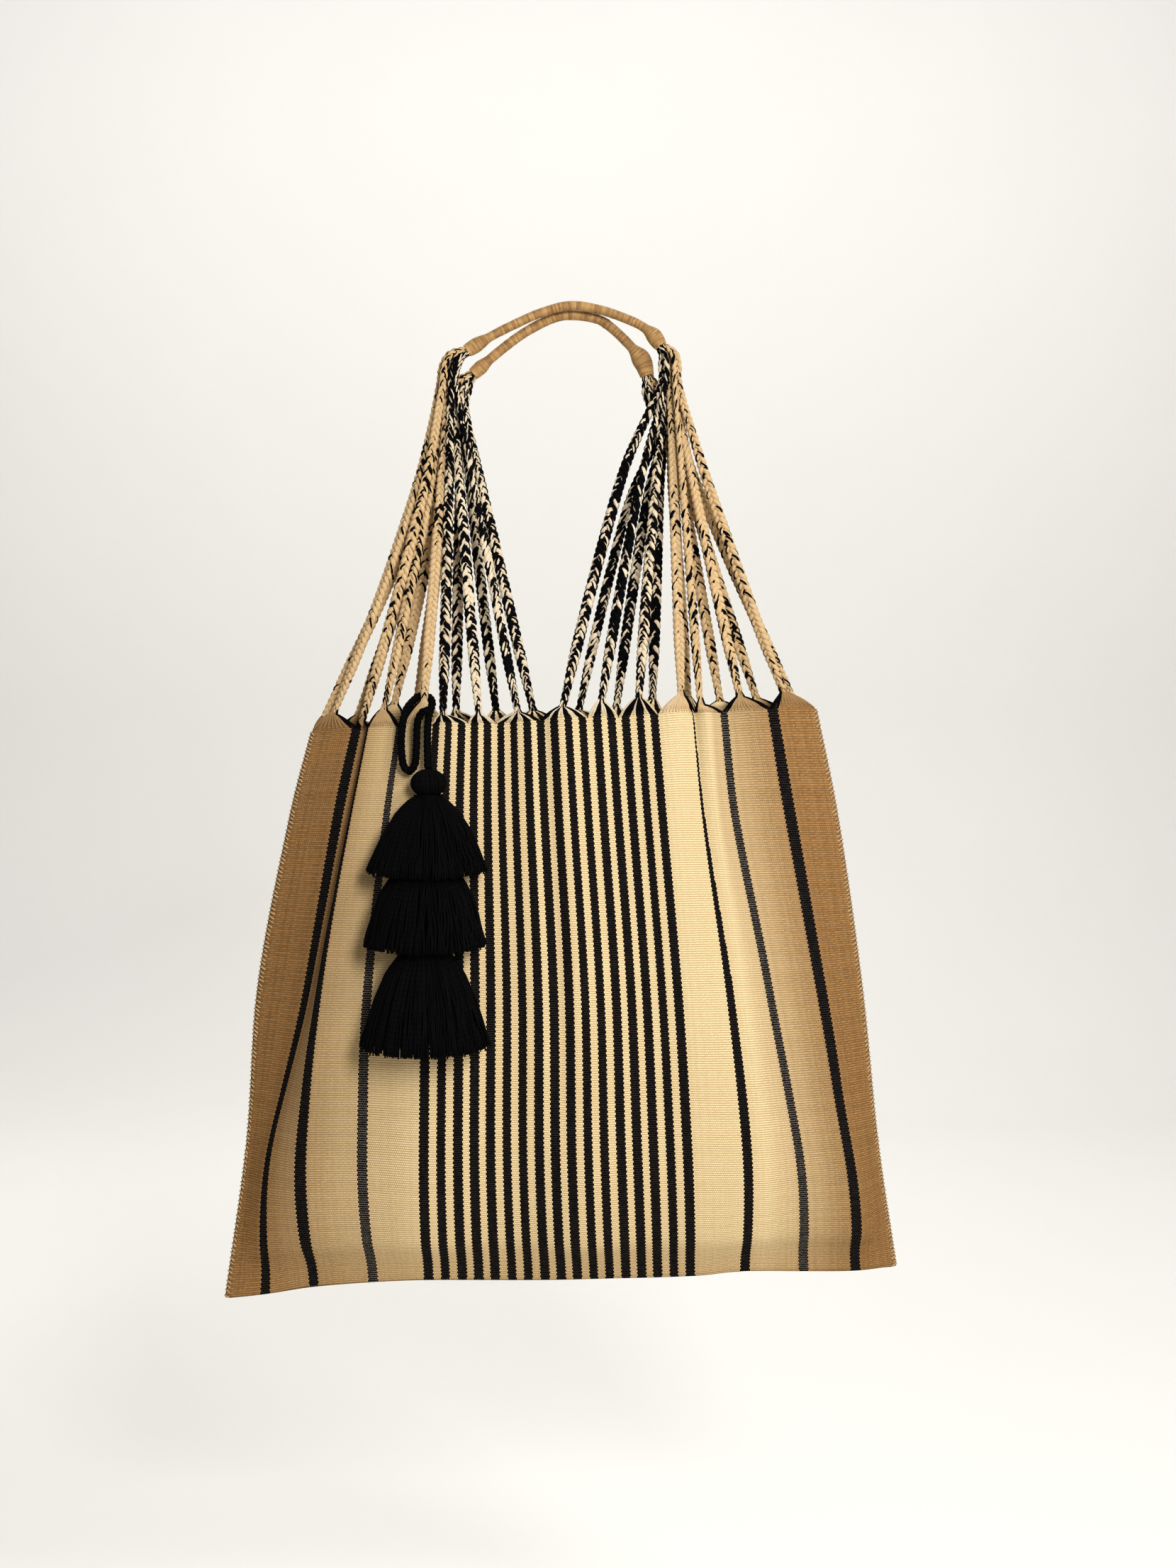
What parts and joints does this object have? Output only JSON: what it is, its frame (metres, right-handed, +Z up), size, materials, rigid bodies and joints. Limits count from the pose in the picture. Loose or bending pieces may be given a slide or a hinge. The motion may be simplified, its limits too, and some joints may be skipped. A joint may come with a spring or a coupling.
{
  "type": "woven bag",
  "caption": "Striped hand-woven cotton bag with a gathered rim of plaits running into two wound handles, and a tiered black yarn tassel looped to one plait.",
  "frame": {"origin": "the point under the two handles, in the plane of the side seams, where the bag hangs on what holds it", "axes": "+Z up, -Y to the front panel that carries the tassel, +X to the right as seen from the front"},
  "size_m": [0.424, 0.1034, 0.6307],
  "materials": {
    "cloth": "warp-faced rib weave in cream and black stripes",
    "plait_yarn": "plaited cream and black cotton yarn",
    "handle_yarn": "tightly wound tan cotton yarn",
    "black_yarn": "soft matte black yarn"
  },
  "bodies": {
    "root": {"bag_cloth": "cloth", "plait_front_01": "plait_yarn", "plait_front_02": "plait_yarn", "plait_front_03": "plait_yarn", "plait_front_04": "plait_yarn", "plait_front_05": "plait_yarn", "plait_front_06": "plait_yarn", "plait_front_07": "plait_yarn", "plait_front_08": "plait_yarn", "plait_front_09": "plait_yarn", "plait_front_10": "plait_yarn", "plait_front_11": "plait_yarn", "plait_front_12": "plait_yarn", "plait_front_13": "plait_yarn", "plait_front_14": "plait_yarn", "handle_front": "handle_yarn", "plait_back_01": "plait_yarn", "plait_back_02": "plait_yarn", "plait_back_03": "plait_yarn", "plait_back_04": "plait_yarn", "plait_back_05": "plait_yarn", "plait_back_06": "plait_yarn", "plait_back_07": "plait_yarn", "plait_back_08": "plait_yarn", "plait_back_09": "plait_yarn", "plait_back_10": "plait_yarn", "plait_back_11": "plait_yarn", "plait_back_12": "plait_yarn", "plait_back_13": "plait_yarn", "plait_back_14": "plait_yarn", "handle_back": "handle_yarn", "tassel_loop": "black_yarn", "tassel_head": "black_yarn", "tassel_tier_top": "black_yarn", "tassel_tier_middle": "black_yarn", "tassel_tier_bottom": "black_yarn"}
  },
  "joints": []
}
